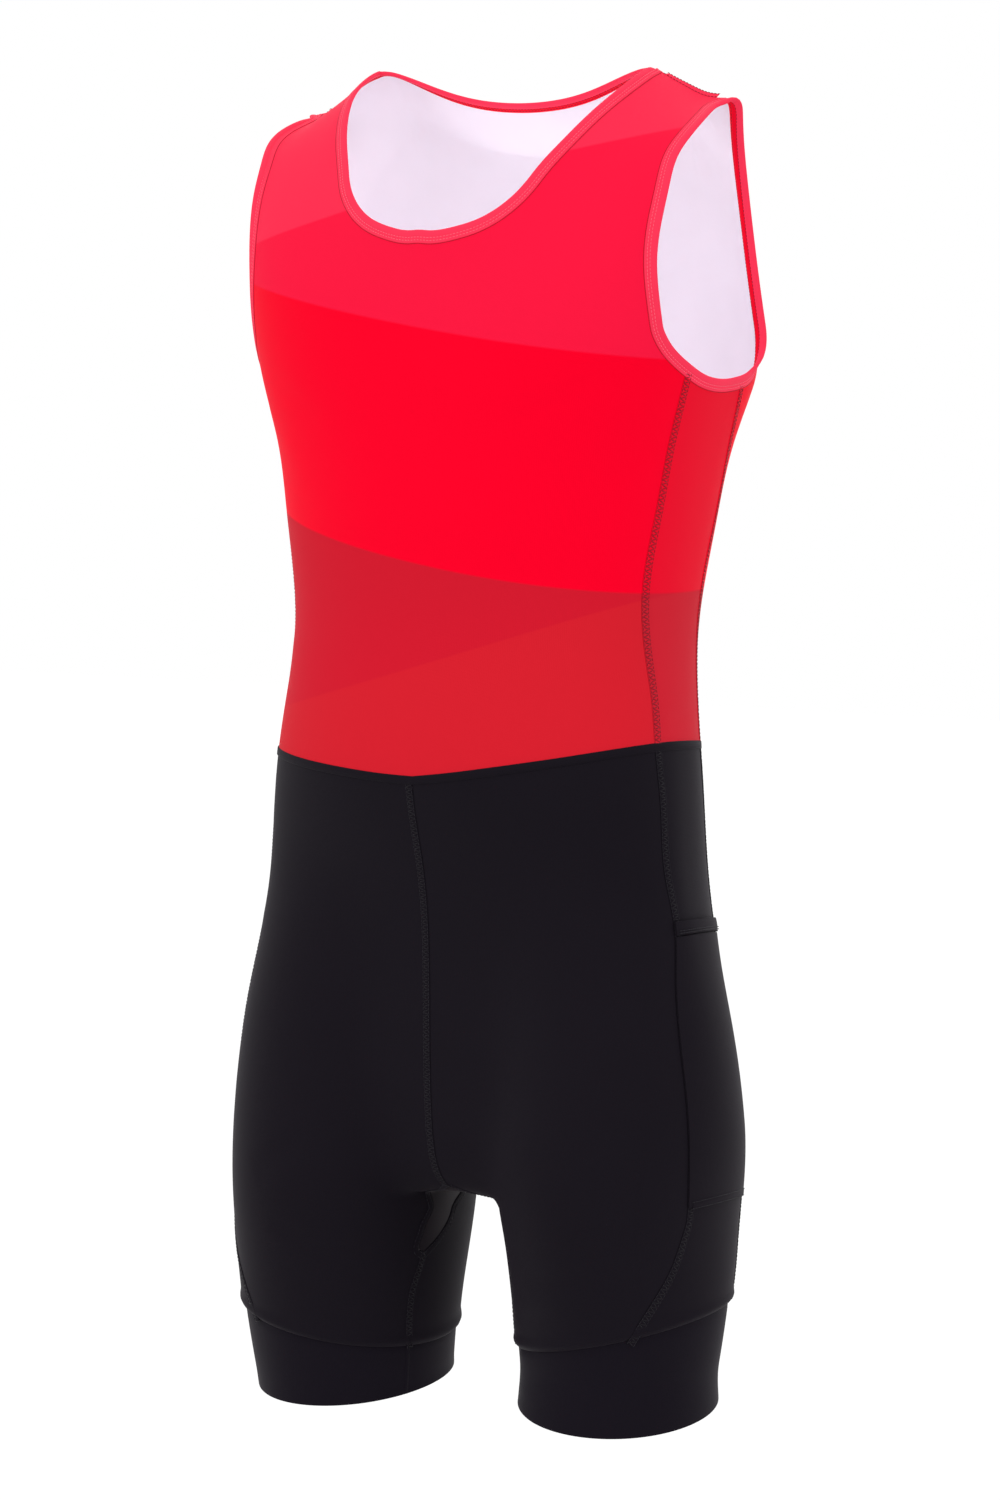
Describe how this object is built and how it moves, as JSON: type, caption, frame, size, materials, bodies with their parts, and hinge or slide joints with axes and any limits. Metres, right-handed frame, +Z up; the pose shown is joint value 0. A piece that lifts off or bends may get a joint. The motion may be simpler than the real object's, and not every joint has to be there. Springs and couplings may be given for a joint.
{
  "type": "rowing unisuit",
  "caption": "Sleeveless one-piece rowing suit with scoop neck, bound armholes, waist seam, mid-thigh legs with grip cuffs and a thigh pocket, open and empty as when worn.",
  "frame": {"origin": "middle of the shoulder line, between the two straps, where the wearer's shoulders carry the suit", "axes": "+X towards the wearer's left, -Y the front, +Z up along the body"},
  "size_m": [0.3763, 0.2455, 0.9196],
  "materials": {
    "red_print": "smooth printed stretch knit, slight sheen",
    "red_side": "smooth stretch knit, slight sheen",
    "red_binding": "folded stretch binding",
    "black_knit": "matt stretch knit",
    "black_cuff": "matt double-layer grip band"
  },
  "bodies": {
    "root": {"bodice_front": "red_print", "bodice_back": "red_print", "bodice_side_left": "red_side", "bodice_side_right": "red_side", "neck_binding": "red_binding", "armhole_binding_left": "red_binding", "armhole_binding_right": "red_binding", "shorts_front_left": "black_knit", "shorts_front_right": "black_knit", "shorts_back_left": "black_knit", "shorts_back_right": "black_knit", "shorts_side_left": "black_knit", "shorts_side_right": "black_knit", "crotch_gusset": "black_knit", "pocket_left": "black_knit", "pocket_band": "black_knit", "leg_cuff_left": "black_cuff", "leg_cuff_right": "black_cuff"}
  },
  "joints": []
}
